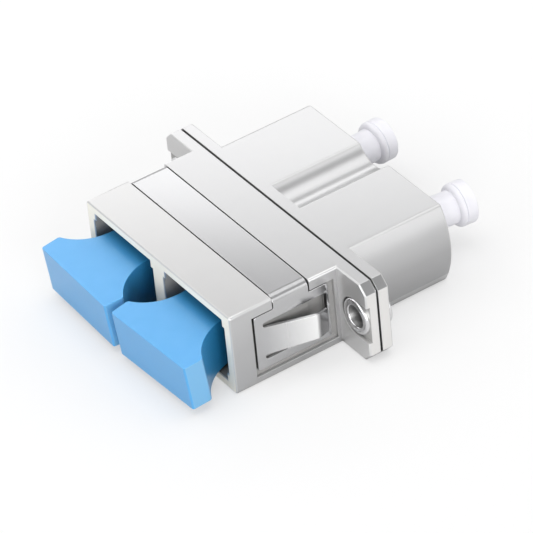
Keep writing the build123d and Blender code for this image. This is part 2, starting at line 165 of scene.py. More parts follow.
def finish_piece(bm, name, body, replaced, sharp):
    """Makes the bmesh an object in metres, with smooth shading, on its body and in place of its nodes."""
    bmesh.ops.remove_doubles(bm, verts=bm.verts, dist=0.0005)
    bmesh.ops.recalc_face_normals(bm, faces=bm.faces)
    bmesh.ops.scale(bm, vec=(MM, MM, MM), verts=bm.verts)
    mesh = bpy.data.meshes.new(name)
    bm.to_mesh(mesh)
    bm.free()
    mesh.shade_smooth()
    mesh.set_sharp_from_angle(angle=math.radians(sharp))
    piece = bpy.data.objects.new(name, mesh)
    bpy.context.scene.collection.objects.link(piece)
    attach(piece, body)
    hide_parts(*replaced)
    finished_pieces.append(piece)
    print(name, len(mesh.polygons), "faces, mm", [round(1000 * side, 2) for side in piece.dimensions])
    return piece


def keep_flats_flat(piece):
    """Lets the large faces set the normals, so that only the rounded edges shade as curves."""
    weighted = piece.modifiers.new("flat_faces", "WEIGHTED_NORMAL")
    weighted.keep_sharp = True
    weighted.weight = 100


# %% [markdown]
# ## The two housings
# The front and rear housings are zinc castings with a satin nickel finish, and the finish is not the same
# all over. The front rim and the ends of the flange are ground matt, and the ears and the front top are
# so a little. The front rim also gets a painted warm tint, which cancels the blue light that the caps
# bounce onto it. The cut corners of the ears get painted shade. The ports, the pockets behind the clip
# and the recesses of the rivets get painted shade, a duller grey. The outer sides get painted shade that
# grows darker towards the table. Narrow slanted faces are marked as worn edges, which also get a little
# painted highlight. Each such place gets a share in a face attribute here, where it is easy to name in
# millimetres, and the material reads those shares later.

# %% Places on the castings with a look of their own
hole_x = 15.55
ear_start_x, corner_start_x, flange_end_x = 12.8, 15.5, 17.5
top_start_z, front_top_end_y = 4.7, -7.8
port_half_x, port_half_z, port_front_y, port_back_y = 12.0, 4.0, -12.8, -0.5
pocket_start_x, pocket_end_x, pocket_front_y, pocket_back_y = 12.05, 12.6, -10.4, -0.4
recess_radius, recess_end_x, recess_front_y, recess_back_y = 2.75, 17.4, 0.03, 0.6
side_start_x, side_end_x = 12.0, 14.0
strip_width = 0.3
flange_end_share, ear_share, front_top_share = 0.6, 0.17, 0.16
pocket_shade_share, front_side_shade_share = 0.9, 0.5
casting_marks = ("rubbed", "matt", "inside", "under", "rim", "side", "corner")


def shares_of(face, is_front, front_y, bottom_z):
    """How far a face of a casting belongs to each of the marked places, from 0 to 1."""
    normal = face.normal
    middle = face.calc_center_median()
    across = abs(middle.x)
    tilted = max(abs(axis) for axis in normal) < 0.98
    length = max(edge.calc_length() for edge in face.edges)
    rubbed = tilted and face.calc_area() / length < strip_width
    looks_forward = normal.y < -0.99
    rim = is_front and looks_forward and middle.y < front_y + 0.01
    ear = looks_forward and abs(middle.y) < 0.01 and across > ear_start_x
    front_top = normal.z > 0.99 and middle.z > top_start_z and middle.y < front_top_end_y
    slanted = abs(normal.x) > 0.5 and abs(normal.z) > 0.5 and abs(normal.y) < 0.1
    at_port_height = abs(middle.z) < port_half_z
    in_port = across < port_half_x and at_port_height and port_front_y < middle.y < port_back_y
    pocket = pocket_start_x < across < pocket_end_x and at_port_height
    pocket = pocket and pocket_front_y < middle.y < pocket_back_y
    near_rivet = math.hypot(across - hole_x, middle.z) < recess_radius and across < recess_end_x
    recess = near_rivet and recess_front_y < middle.y < recess_back_y
    # outer side faces, which get painted shade towards the table
    outer_side = abs(normal.x) > 0.5 and side_start_x < across < side_end_x and not pocket
    return {
        "rubbed": float(rubbed),
        "matt": max(flange_end_share * (across > flange_end_x), float(rim), ear_share * ear,
                    front_top_share * front_top),
        # the ports, the pockets behind the clip and the rivet recesses, which get painted shade
        "inside": max(float(in_port and normal.y < 0.5), pocket_shade_share * (pocket or recess)),
        "under": float(normal.z < -0.9 and middle.z < bottom_z + 0.3),
        # the front rim, which gets a painted warm tint
        "rim": float(rim),
        "side": outer_side * (front_side_shade_share if is_front else 1.0),
        # the cut corners of the ears, which get painted shade
        "corner": float(slanted and across > corner_start_x and not rubbed),
    }


# %% [markdown]
# The form of both castings is already exact in the imported model, so drawing them again would only risk a
# mistake. What the model lacks is the soft edge that a casting has after plating. A copy of each is
# merged, because the imported mesh is loose triangles. Its flat triangles are joined to whole faces, and
# then every hard edge is rounded by a few hundredths of a millimetre. The new narrow faces are marked, so
# that the finish can be a little brighter and rougher there: partly edge wear where hands and panels
# touch, and partly a painted highlight line.

# %% Copies of the castings with soft edges
casting_round = 0.035
flat_degrees, hard_degrees = 0.2, 24


def soft_casting(node):
    """A merged copy of a node in millimetres, with its places marked and each hard edge rounded."""
    bm = bmesh.new()
    bm.from_mesh(nodes[node].data)
    bmesh.ops.scale(bm, vec=(1 / MM, 1 / MM, 1 / MM), verts=bm.verts)
    bmesh.ops.remove_doubles(bm, verts=bm.verts, dist=0.001)
    flat_angle = math.radians(flat_degrees)
    bmesh.ops.dissolve_limit(bm, angle_limit=flat_angle, verts=bm.verts, edges=bm.edges)
    layers = {mark: bm.faces.layers.float.new(mark) for mark in casting_marks}
    front_y = min(vert.co.y for vert in bm.verts)
    bottom_z = min(vert.co.z for vert in bm.verts)
    for face in bm.faces:
        for mark, share in shares_of(face, node == "front_housing", front_y, bottom_z).items():
            face[layers[mark]] = share
    for face in bevel(bm, hard_edges(bm, hard_degrees), casting_round, 2, clamp=False):
        # narrow bevels: edge wear, and partly a painted highlight
        face[layers["rubbed"]] = 1.0
    stay_in_box(bm, node)
    return bm


for node in ("front_housing", "rear_housing"):
    casting = finish_piece(soft_casting(node), node + "_casting", "housing", [node], 60)
    keep_flats_flat(casting)

# %% [markdown]
# ## The panel clip
# One strip of spring steel lies across the top and turns down both sides. Each side ends in a plate with
# a window, and a tongue is cut and bent outwards in it, to grip the panel. A sheet part is easiest as a
# surface at the middle of its thickness: the plate is a ring between two rounded outlines, and the tongue
# and the strap are extruded from its edges. The thickness comes last, from a Solidify modifier.

# %% The plate of the clip with its window
clip_thickness = 0.38
clip_outer_x = 12.9
clip_middle_x = clip_outer_x - clip_thickness / 2
plate_front, plate_rear, plate_bottom, plate_top = -10.1, -1.2, -3.27, 3.35
window_front, window_rear, window_half = -9.1, -1.55, 2.25
plate_corner, window_corner = 0.3, 0.25


def rounded_loop(bm, front, rear, bottom, top, radius):
    """The closed row of edges of a rounded rectangle in the middle plane of the clip's side."""
    corners = [(front, bottom), (rear, bottom), (rear, top), (front, top)]
    face = bm.faces.new([bm.verts.new((clip_middle_x, y, z)) for y, z in corners])
    bevel(bm, list(face.verts), radius, 4, "VERTICES")
    return drop_face(bm, largest_face(bm.faces))


clip = bmesh.new()
outer = rounded_loop(clip, plate_front, plate_rear, plate_bottom, plate_top, plate_corner)
inner = rounded_loop(clip, window_front, window_rear, -window_half, window_half, window_corner)
bmesh.ops.bridge_loops(clip, edges=outer + inner)
print("clip plate", len(clip.faces), "faces")

# %% [markdown]
# The tongue starts as the edge of the window's front side. Cuts across the ring give that edge its width,
# and the strap's edge its own. Each is then extruded to the next point of its bend. The folds are sharp
# at first and rounded with a bevel, because a bevel on a fold makes an even arc of any radius.

# %% Helpers that cut and pull a sheet


def cut_across(bm, axis, place):
    """Cuts every face of the bmesh at a place along an axis, 1 for Y and 2 for Z."""
    point = [0.0, 0.0, 0.0]
    point[axis] = place
    normal = [0.0, 0.0, 0.0]
    normal[axis] = 1.0
    bmesh.ops.bisect_plane(bm, geom=everything(bm), dist=0.0001, plane_co=point, plane_no=normal)


def edges_between(bm, axis, place, along, low, high):
    """The open edges that lie at a place along one axis, between two limits of the other."""
    found = []
    for edge in bm.edges:
        if edge.is_boundary and all(abs(v.co[axis] - place) < 0.001 for v in edge.verts):
            middle = (edge.verts[0].co[along] + edge.verts[1].co[along]) / 2
            if low < middle < high:
                found.append(edge)
    return found


def pull_edges(bm, edges, move):
    """Extrudes edges by a move and returns the new outer edges."""
    new = bmesh.ops.extrude_edge_only(bm, edges=edges)["geom"]
    verts = only(bmesh.types.BMVert, new)
    bmesh.ops.translate(bm, vec=move, verts=verts)
    return [e for e in only(bmesh.types.BMEdge, new) if e.verts[0] in verts and e.verts[1] in verts]


# %% The tongue and the strap
tongue_root_half, tongue_tip_half = 1.7, 1.42
tongue_fold_half = tongue_tip_half + 0.04
tongue_fold = (clip_middle_x + 1.6, -3.55)
tongue_tip = (clip_middle_x + 1.23, -2.27)
fold_round, root_round = 0.26, 0.16
strap_front, strap_rear = -7.7, -3.45
strap_top, strap_outer_bend = 4.75, 0.95
strap_bend = strap_outer_bend - clip_thickness / 2
strap_middle_z = strap_top - clip_thickness / 2

for place in (-tongue_root_half, tongue_root_half):
    cut_across(clip, 2, place)
for place in (strap_front, strap_rear):
    cut_across(clip, 1, place)

root = edges_between(clip, 1, window_front, 2, -tongue_root_half, tongue_root_half)
fold_move = (tongue_fold[0] - clip_middle_x, tongue_fold[1] - window_front, 0)
fold = pull_edges(clip, root, fold_move)
tip_move = (tongue_tip[0] - tongue_fold[0], tongue_tip[1] - tongue_fold[1], 0)
tip = pull_edges(clip, fold, tip_move)
for row, half in ((fold, tongue_fold_half), (tip, tongue_tip_half)):
    row_verts = {v for edge in row for v in edge.verts}
    bmesh.ops.scale(clip, vec=(1, 1, half / tongue_root_half), verts=list(row_verts))
bevel(clip, fold, fold_round, 6)
bevel(clip, root, root_round, 3)

strap_edge = edges_between(clip, 2, plate_top, 1, strap_front, strap_rear)
strap_edge = pull_edges(clip, strap_edge, (0, 0, strap_middle_z - strap_bend - plate_top))
turned = bmesh.ops.spin(
    clip, geom=strap_edge, cent=(clip_middle_x - strap_bend, 0, strap_middle_z - strap_bend),
    axis=(0, -1, 0), angle=math.radians(90), steps=8, use_merge=False, use_duplicate=False)
turned_edges = only(bmesh.types.BMEdge, turned["geom_last"])
pull_edges(clip, turned_edges, (strap_bend - clip_middle_x, 0, 0))
bmesh.ops.mirror(clip, geom=everything(clip), axis="X", merge_dist=0.001)
panel_clip = finish_piece(clip, "panel_clip_strip", "housing", ["panel_clip"], 50)

# %% [markdown]
# The modifiers give the sheet its thickness, half to each side, and then round its edges a little. They
# come in that order, because the edges exist only once the sheet is thick.

# %% The thickness and the edges of the clip
clip_round = 0.045
thicken = panel_clip.modifiers.new("strip_thickness", "SOLIDIFY")
thicken.thickness = clip_thickness * MM
thicken.offset = 0.0
thicken.use_even_offset = True
soften = panel_clip.modifiers.new("strip_edges", "BEVEL")
soften.width = clip_round * MM
soften.segments = 2
soften.limit_method = "ANGLE"
soften.angle_limit = math.radians(50)
keep_flats_flat(panel_clip)
print("clip modifiers", [modifier.name for modifier in panel_clip.modifiers])

# %% [markdown]
# ## The hollow rivets
# Two tubular rivets join the flange plates, and their bores pass the panel screws. Each head is rolled
# outwards like an eyelet. A turned piece is one outline spun about its axis, so the outline of the wall
# and both heads is drawn as a flat face, its corners are rounded there, and only its edges are spun.

# %% Rivets spun from one outline
rivet_bore, rivet_shank, rivet_head, rivet_lip = 1.25, 1.58, 2.05, 0.1
head_height, recess_depth, flange_back = 0.4, 0.4, 2.84
rivet_back = flange_back + head_height
head_round, lip_round = 0.26, 0.06


def spun(bm, edges, centre, steps):
    """Spins the edges once round an axis along Y and closes the ring."""
    geometry = list(edges) + list({v for edge in edges for v in edge.verts})
    bmesh.ops.spin(
        bm, geom=geometry, cent=centre, axis=(0, 1, 0), angle=math.radians(360), steps=steps,
        use_merge=True, use_duplicate=False)


def rivet_outline(bm, x):
    """The edges of the rivet's section in the plane z = 0, with rolled heads."""
    points = [
        (rivet_bore, rivet_lip), (rivet_bore + rivet_lip, 0.0), (rivet_head, 0.0),
        (rivet_head, recess_depth), (rivet_shank, recess_depth), (rivet_shank, flange_back),
        (rivet_head, flange_back), (rivet_head, rivet_back), (rivet_bore + rivet_lip, rivet_back),
        (rivet_bore, rivet_back - rivet_lip)]
    bm.faces.new([bm.verts.new((x + radius, y, 0)) for radius, y in points])
    bm.verts.ensure_lookup_table()
    head_rims = [bm.verts[points.index((rivet_head, y))] for y in (0.0, rivet_back)]
    bevel(bm, head_rims, head_round, 6, "VERTICES")
    lips = [v for v in bm.verts if abs(v.co.x - x - rivet_bore - rivet_lip) < 0.001]
    bevel(bm, lips, lip_round, 4, "VERTICES")
    return drop_face(bm, largest_face(bm.faces))


for side, hand in HANDS:
    rivet = bmesh.new()
    spun(rivet, rivet_outline(rivet, side * hole_x), (side * hole_x, 0, 0), 64)
    # the bore's faces, which get painted shade
    bore = rivet.faces.layers.float.new("bore")
    for face in rivet.faces:
        middle = face.calc_center_median()
        face[bore] = float(math.hypot(middle.x - side * hole_x, middle.z) < rivet_bore + 0.01)
    finish_piece(rivet, "rolled_rivet_" + hand, "housing", ["rivet_" + hand], 50)

# %% [markdown]
# ## The blue dust caps
# Each front cap is one soft blue moulding: a wide grip for the fingers, a waist scooped out on both
# sides, and a hollow plug that goes over the sleeve barrel in the port. Seen from above it is one flat
# outline, so the outline is drawn first, with the two scoops spun as arcs, and raised to the cap's
# height. The grip's upright corners and then all its long edges are rounded.

# %% Outline and body of the blue cap
cap_height, cap_tail_y, neck_half = 5.48, 1.4, 3.2
grip_front_y, grip_back_y, grip_front_half = -11.7, -9.47, 6.18
scoop_radius, scoop_length, scoop_end_y = 5.34, 4.8703, -4.5997
scoop_angle = math.asin(scoop_length / scoop_radius)
cap_corner_round, cap_rim_round = 0.25, 0.2


def blue_outline(bm):
    """The cap seen from above, as one face at z = 0."""
    start = bm.verts.new((neck_half, scoop_end_y, 0))
    centre = (neck_half + scoop_radius, scoop_end_y, 0)
    bmesh.ops.spin(
        bm, geom=[start], cent=centre, axis=(0, 0, 1), angle=scoop_angle, steps=24,
        use_merge=False, use_duplicate=False)
    arc_end = min(bm.verts, key=lambda v: v.co.y)
    front = bm.verts.new((grip_front_half, grip_front_y, 0))
    front_middle = bm.verts.new((0, grip_front_y, 0))
    tail = bm.verts.new((neck_half, cap_tail_y, 0))
    tail_middle = bm.verts.new((0, cap_tail_y, 0))
    for pair in ((arc_end, front), (front, front_middle), (start, tail), (tail, tail_middle)):
        bm.edges.new(pair)
    bmesh.ops.mirror(bm, geom=everything(bm), axis="X", merge_dist=0.001)
    bmesh.ops.dissolve_verts(bm, verts=[v for v in bm.verts if abs(v.co.x) < 0.001])
    return bmesh.ops.contextual_create(bm, geom=list(bm.edges))["faces"][0]


def rise(edge):
    """How much higher one end of an edge is than the other."""
    return abs(edge.verts[0].co.z - edge.verts[1].co.z)


def blue_body(bm):
    """The whole cap in its own frame, with rounded edges, before its bore is sunk."""
    outline = blue_outline(bm)
    bmesh.ops.translate(bm, vec=(0, 0, -cap_height / 2), verts=list(bm.verts))
    top = bmesh.ops.extrude_face_region(bm, geom=[outline], use_keep_orig=True)["geom"]
    bmesh.ops.translate(bm, vec=(0, 0, cap_height), verts=only(bmesh.types.BMVert, top))
    bmesh.ops.recalc_face_normals(bm, faces=bm.faces)
    upright = [e for e in hard_edges(bm, 15) if rise(e) > 1]
    bevel(bm, [e for e in upright if e.verts[0].co.y < scoop_end_y - 0.5], cap_corner_round, 4)
    bevel(bm, [e for e in hard_edges(bm, 60) if rise(e) < 0.001], cap_rim_round, 4)


print("scoop turns", round(math.degrees(scoop_angle), 1), "degrees")

# %% [markdown]
# The tail of the plug is a hollow tube in a square block. The bore is a ring of edges in the tail face.
# The ring and the face's own edge are filled together, which leaves the hole open, and then the ring is
# pulled forward and closed. The cap hangs a little from the barrel in the port, so the finished form is
# leaned about the same point as in the model. The outer sides of the grip are marked for painted light,
# which makes them paler.

# %% The plug's bore and both blue caps
cap_bore_radius, cap_bore_depth = 2.37, 3.6
port_x = 6.35
cap_hang_y, cap_droop, cap_splay = -7.0, 5.9, 2.2
painted_light_end_y = cap_hang_y + grip_back_y + 0.5


def sink_bore(bm, y, radius, depth, steps):
    """Cuts a round blind hole into the flat face that looks along +Y at y."""
    tail = [f for f in bm.faces if f.normal.y > 0.99 and abs(f.calc_center_median().y - y) < 0.01]
    border = drop_face(bm, largest_face(tail))
    place = Matrix.Translation((0, y, 0)) @ Matrix.Rotation(math.radians(90), 4, "X")
    ring = bmesh.ops.create_circle(bm, cap_ends=False, segments=steps, radius=radius, matrix=place)
    ring_edges = list({e for v in ring["verts"] for e in v.link_edges})
    bmesh.ops.triangle_fill(bm, use_beauty=True, edges=border + ring_edges)
    bmesh.ops.contextual_create(bm, geom=pull_edges(bm, ring_edges, (0, -depth, 0)))


def hang_at_port(bm, side, y, droop, splay):
    """Leans a cap by its two angles in degrees and moves it to its port."""
    lean = Matrix.Rotation(math.radians(droop), 4, "X")
    spread = Matrix.Rotation(math.radians(side * splay), 4, "Z")
    port = Matrix.Translation((side * port_x, y, 0))
    bmesh.ops.transform(bm, matrix=port @ lean @ spread, verts=list(bm.verts))


for side, hand in HANDS:
    cap = bmesh.new()
    blue_body(cap)
    sink_bore(cap, cap_tail_y, cap_bore_radius, cap_bore_depth, 48)
    hang_at_port(cap, side, cap_hang_y, cap_droop, cap_splay)
    node = "front_dust_cap_" + hand
    stay_in_box(cap, node)
    # painted light: the outer sides of the grip are marked to be paler
    gripped = cap.faces.layers.float.new("gripped")
    for face in cap.faces:
        on_grip = abs(face.normal.x) > 0.9 and face.calc_center_median().y < painted_light_end_y
        face[gripped] = float(on_grip)
    piece = finish_piece(cap, "blue_cap_" + hand, "front_cap_" + hand, [node], 45)
    keep_flats_flat(piece)

# %% [markdown]
# ## The white dust caps
# Each rear cap is a round moulding: a hollow stem, a collar that swells from it, a fine crease, and a
# head. A round piece is quickest and truest as one half outline spun about the axis. The outline starts
# as a flat face with square corners, and each corner that is soft on the real cap is rounded there before
# the spin.

# %% White caps spun from one outline
stem_radius, stem_bore, stem_tail, bore_bottom = 1.81, 1.5, -0.5, 2.8
collar_radius, collar_start = 2.37, 10.65
head_radius, head_start, head_end = 2.36, 11.3, 12.57
crease_half, crease_depth = 0.07, 0.14
rear_hang_y, rear_droop, rear_splay = 7.5, -0.5, -3.9
soft_corners = (
    # radius and place along the axis, how round, in how many steps
    (collar_radius, collar_start, 0.55, 8),
    (stem_radius, collar_start, 0.12, 4),
    (collar_radius, head_start - crease_half, 0.05, 3),
    (head_radius, head_start + crease_half, 0.05, 3),
    (head_radius, head_end, 0.16, 5),
    (stem_radius, stem_tail, 0.1, 3),
)
print("white cap length", round(head_end - stem_tail, 2), "mm")


def white_outline(bm):
    """The edges of half of the cap's section in the plane z = 0, with its axis along Y."""
    points = [
        (0, bore_bottom), (stem_bore, bore_bottom), (stem_bore, stem_tail), (stem_radius, stem_tail),
        (stem_radius, collar_start), (collar_radius, collar_start),
        (collar_radius, head_start - crease_half), (collar_radius - crease_depth, head_start),
        (head_radius, head_start + crease_half), (head_radius, head_end), (0, head_end)]
    bm.faces.new([bm.verts.new((x, y, 0)) for x, y in points])
    for x, y, radius, segments in soft_corners:
        corner = min(bm.verts, key=lambda v: (v.co.x - x) ** 2 + (v.co.y - y) ** 2)
        bevel(bm, [corner], radius, segments, "VERTICES")
    edges = drop_face(bm, largest_face(bm.faces))
    return [e for e in edges if max(abs(v.co.x) for v in e.verts) > 0.0001]


for side, hand in HANDS:
    cap = bmesh.new()
    spun(cap, white_outline(cap), (0, 0, 0), 72)
    axis_verts = [v for v in cap.verts if not v.link_faces]
    bmesh.ops.delete(cap, geom=axis_verts, context="VERTS")
    hang_at_port(cap, side, rear_hang_y, rear_droop, rear_splay)
    node = "rear_dust_cap_" + hand
    stay_in_box(cap, node)
    finish_piece(cap, "white_cap_" + hand, "rear_cap_" + hand, [node], 45)

# %% [markdown]
# ## Materials
# Every finish is built from the same few nodes. A noise on the object's own coordinates gives a pattern
# that stays on the piece when it moves. The pattern then steers the roughness and a very low bump, and
# only a little the colour, because these pieces are clean. Small functions keep each finish down to a few
# lines that can be read as a recipe.

# %% Helpers that give a pattern or a share


def new_finish(name):
    """A new node material and its shader."""
    finish = bpy.data.materials.new(name)
    finish.use_nodes = True
    return finish, finish.node_tree.nodes["Principled BSDF"]


def place_noise(finish, size, detail, stretch=(1.0, 1.0, 1.0)):
    """A noise on the object's coordinates whose grains are about size millimetres."""
    tree = finish.node_tree
    place = tree.nodes.new("ShaderNodeTexCoord")
    mapping = tree.nodes.new("ShaderNodeMapping")
    mapping.inputs["Scale"].default_value = stretch
    noise = tree.nodes.new("ShaderNodeTexNoise")
    noise.inputs["Scale"].default_value = 1 / (size * MM)
    noise.inputs["Detail"].default_value = detail
    tree.links.new(place.outputs["Object"], mapping.inputs["Vector"])
    tree.links.new(mapping.outputs["Vector"], noise.inputs["Vector"])
    return noise.outputs["Fac"]


def place_along(finish, axis):
    """The place of a point along one axis of its object, in metres."""
    place = finish.node_tree.nodes.new("ShaderNodeTexCoord")
    apart = finish.node_tree.nodes.new("ShaderNodeSeparateXYZ")
    finish.node_tree.links.new(place.outputs["Object"], apart.inputs["Vector"])
    return apart.outputs[axis]


def marked_share(finish, mark):
    """A face attribute of a piece, such as the mark of the narrow bevels, which is 1 on them."""
    marked = finish.node_tree.nodes.new("ShaderNodeAttribute")
    marked.attribute_name = mark
    return marked.outputs["Fac"]


def between(finish, source, low, high, start=0.3, end=0.7):
    """Turns a pattern that runs from start to end into numbers from low to high."""
    spread = finish.node_tree.nodes.new("ShaderNodeMapRange")
    spread.inputs["From Min"].default_value = start
    spread.inputs["From Max"].default_value = end
    spread.inputs["To Min"].default_value = low
    spread.inputs["To Max"].default_value = high
    finish.node_tree.links.new(source, spread.inputs["Value"])
    return spread.outputs["Result"]


def crevice_shade_share(finish, reach, closed=0.15, wide=0.55):
    """A share for painted shade from ambient occlusion: 1 deep in gaps narrower than about reach
    millimetres, and 0 in the open.
    """
    hidden = finish.node_tree.nodes.new("ShaderNodeAmbientOcclusion")
    hidden.inputs["Distance"].default_value = reach * MM
    hidden.samples = 8
    return between(finish, hidden.outputs["AO"], 1.0, 0.0, closed, wide)


def combined(finish, operation, first, second):
    """Works out one number from two, each a pattern or a plain value."""
    math_node = finish.node_tree.nodes.new("ShaderNodeMath")
    math_node.operation = operation
    for socket, value in zip(math_node.inputs, (first, second)):
        if isinstance(value, float):
            socket.default_value = value
        else:
            finish.node_tree.links.new(value, socket)
    return math_node.outputs["Value"]


# %% Helpers that give a colour or reach the shader


def tinted(finish, source, dark, light):
    """Turns a pattern into colours from dark to light."""
    ramp = finish.node_tree.nodes.new("ShaderNodeValToRGB")
    for element, place, colour in zip(ramp.color_ramp.elements, (0.3, 0.7), (dark, light)):
        element.position = place
        element.color = (*colour, 1)
    finish.node_tree.links.new(source, ramp.inputs["Fac"])
    return ramp.outputs["Color"]


def blended(finish, share, first, second):
    """Mixes a colour that varies with a plain one, by a share."""
    mix = finish.node_tree.nodes.new("ShaderNodeMix")
    mix.data_type = "RGBA"
    finish.node_tree.links.new(share, mix.inputs["Factor"])
    finish.node_tree.links.new(first, mix.inputs[6])
    mix.inputs[7].default_value = (*second, 1)
    return mix.outputs[2]


def set_input(finish, shader, name, source):
    """Links a pattern to an input of the shader."""
    finish.node_tree.links.new(source, shader.inputs[name])


def raised(finish, shader, source, height):
    """Lets a pattern stand up by height millimetres. As the last step it also prints the node count."""
    bump = finish.node_tree.nodes.new("ShaderNodeBump")
    bump.inputs["Distance"].default_value = height * MM
    finish.node_tree.links.new(source, bump.inputs["Height"])
    finish.node_tree.links.new(bump.outputs["Normal"], shader.inputs["Normal"])
    print(finish.name, "has", len(finish.node_tree.nodes), "nodes")


# %% [markdown]
# ## Satin nickel on the castings
# A die casting is tumbled and then nickel plated, so it shines softly and has no grain that the eye can
# see from a hand's width away. Its colour and its roughness hardly change across a face, and a low bump
# gives the fine matt texture. The marked faces then differ: ground ones scatter the light, so they are
# rougher and less metallic. The ports and pockets get painted shade, a duller grey that is also less
# metallic. The cut corners of the ears and the low parts of the outer sides get painted shade, the front
# rim a painted warm tint against the blue light bounced from the caps, and the edge bevels, besides their
# wear, a little painted highlight. The ambient occlusion node tells how closed in a point is, and the
# narrow gaps get painted shade, nearly black. The underside is left out of that, since only the table
# closes it in.

# %% Cast nickel
# painted shade: the nearly black colour of narrow gaps on the castings, the clip and the rivets
painted_gap_shade = (0.03, 0.03, 0.03)
side_shade_top = 3.6 * MM
cast_nickel, shader = new_finish("satin_cast_nickel")
cloud = place_noise(cast_nickel, 2.2, 2.0)
marked = {mark: marked_share(cast_nickel, mark) for mark in casting_marks}
nickel = tinted(cast_nickel, cloud, (0.735, 0.735, 0.74), (0.745, 0.745, 0.75))
nickel = blended(cast_nickel, marked["matt"], nickel, (0.96, 0.94, 0.91))
# painted warm tint on the front rim, which cancels the blue light bounced from the caps
nickel = blended(cast_nickel, marked["rim"], nickel, (1.0, 0.96, 0.85))
# painted shade on the cut corners of the ears
nickel = blended(cast_nickel, marked["corner"], nickel, (0.47, 0.47, 0.475))
# painted shade: the outer sides turn darker towards the table
painted_low_side_shade = between(cast_nickel, place_along(cast_nickel, "Z"), 1.0, 0.0, 0.0, side_shade_top)
painted_low_side_shade = combined(cast_nickel, "MULTIPLY", painted_low_side_shade, marked["side"])
nickel = blended(cast_nickel, painted_low_side_shade, nickel, (0.57, 0.57, 0.575))
# edge bevels a little brighter: edge wear, and partly a painted highlight
nickel = blended(cast_nickel, marked["rubbed"], nickel, (0.76, 0.76, 0.76))
# painted shade: the ports, pockets and rivet recesses turn a duller grey
nickel = blended(cast_nickel, marked["inside"], nickel, (0.40, 0.395, 0.385))
# painted shade, nearly black: within 2.5 mm in the ports and pockets, and in narrow gaps everywhere, but
# not on the underside
deep = combined(cast_nickel, "MULTIPLY", crevice_shade_share(cast_nickel, 2.5), marked["inside"])
deep = combined(cast_nickel, "MAXIMUM", deep, crevice_shade_share(cast_nickel, 0.8))
open_below = combined(cast_nickel, "SUBTRACT", 1.0, marked["under"])
deep = combined(cast_nickel, "MULTIPLY", deep, open_below)
set_input(cast_nickel, shader, "Base Color", blended(cast_nickel, deep, nickel, painted_gap_shade))
satin = between(cast_nickel, cloud, 0.29, 0.3)
satin = combined(cast_nickel, "ADD", satin, combined(cast_nickel, "MULTIPLY", marked["rubbed"], 0.1))
ground = combined(cast_nickel, "MULTIPLY", marked["matt"], 0.55)
set_input(cast_nickel, shader, "Roughness", combined(cast_nickel, "MAXIMUM", satin, ground))
dull = combined(cast_nickel, "MAXIMUM", marked["matt"], marked["inside"])
set_input(cast_nickel, shader, "Metallic", between(cast_nickel, dull, 0.95, 0.1, 0.0, 1.0))
raised(cast_nickel, shader, place_noise(cast_nickel, 0.12, 2.0), 0.0002)

# %% [markdown]
# ## Rolled spring steel on the clip
# The clip is cut from rolled strip and plated. The rolls leave very fine lines along the strip, so its
# noise is stretched fifty times along X. It is a little smoother than the castings and mirrors the room
# more clearly. The tongue gets a painted highlight up to its fold, pale and less metallic, and behind the
# fold its tip gets painted shade. The edge at the end of the window gets painted shade, nearly black.
# These places are told by their distance along the axes, because the edges of the strip exist only once
# the Solidify modifier has run. The narrow gaps get painted shade too, nearly black, by ambient occlusion.

# %% Clip steel
tongue_start_x, tongue_lit_x = 12.95 * MM, 14.4 * MM
fold_start_y, fold_end_y = -3.75 * MM, -3.35 * MM
end_dark_y, end_darkest_y, end_fading_y, end_light_y = -1.75 * MM, -1.6 * MM, -1.5 * MM, -1.4 * MM
end_full_z, end_none_z = 2.2 * MM, 2.35 * MM
clip_steel, shader = new_finish("rolled_clip_steel")
lines = place_noise(clip_steel, 0.12, 4.0, (1 / 50, 1.0, 1.0))
steel = tinted(clip_steel, lines, (0.69, 0.69, 0.70), (0.71, 0.71, 0.72))
along = place_along(clip_steel, "Y")
across = combined(clip_steel, "ABSOLUTE", place_along(clip_steel, "X"), 0.0)
stands_out = between(clip_steel, across, 0.0, 1.0, tongue_start_x, tongue_lit_x)
before_fold = between(clip_steel, along, 1.0, 0.15, fold_start_y, fold_end_y)
# painted highlight: the tongue turns pale and less metallic up to its fold
painted_tongue_light = combined(clip_steel, "MULTIPLY", stands_out, before_fold)
tip_shade = combined(clip_steel, "SUBTRACT", stands_out, painted_tongue_light)
steel = blended(clip_steel, painted_tongue_light, steel, (0.98, 0.98, 0.98))
# painted shade on the tongue's tip behind the fold
steel = blended(clip_steel, tip_shade, steel, (0.25, 0.25, 0.255))
# painted shade, nearly black, on the edge at the end of the window
window_end_shade = between(clip_steel, along, 0.0, 1.0, end_dark_y, end_darkest_y)
past_end = between(clip_steel, along, 1.0, 0.0, end_fading_y, end_light_y)
window_end_shade = combined(clip_steel, "MULTIPLY", window_end_shade, past_end)
up_or_down = combined(clip_steel, "ABSOLUTE", place_along(clip_steel, "Z"), 0.0)
in_window = between(clip_steel, up_or_down, 1.0, 0.0, end_full_z, end_none_z)
window_end_shade = combined(clip_steel, "MULTIPLY", window_end_shade, in_window)
steel = blended(clip_steel, window_end_shade, steel, (0.04, 0.04, 0.04))
# painted shade, nearly black, in the clip's narrow gaps
steel = blended(clip_steel, crevice_shade_share(clip_steel, 0.8), steel, painted_gap_shade)
set_input(clip_steel, shader, "Base Color", steel)
set_input(clip_steel, shader, "Roughness", between(clip_steel, lines, 0.2, 0.23))
set_input(clip_steel, shader, "Metallic", between(clip_steel, painted_tongue_light, 1.0, 0.4, 0.0, 1.0))
raised(clip_steel, shader, lines, 0.0001)

# %% [markdown]
# ## Bright metal on the rivets
# The tool that rolls a rivet's head also presses it smooth, so this is the brightest metal of all. Its
# roughness drifts a little, as on any turned part. The bore was never touched by that tool, so it is
# rougher, and it gets painted shade, a dark grey; its faces were marked when the outline was spun. The
# narrow gaps around the heads get painted shade too, nearly black.

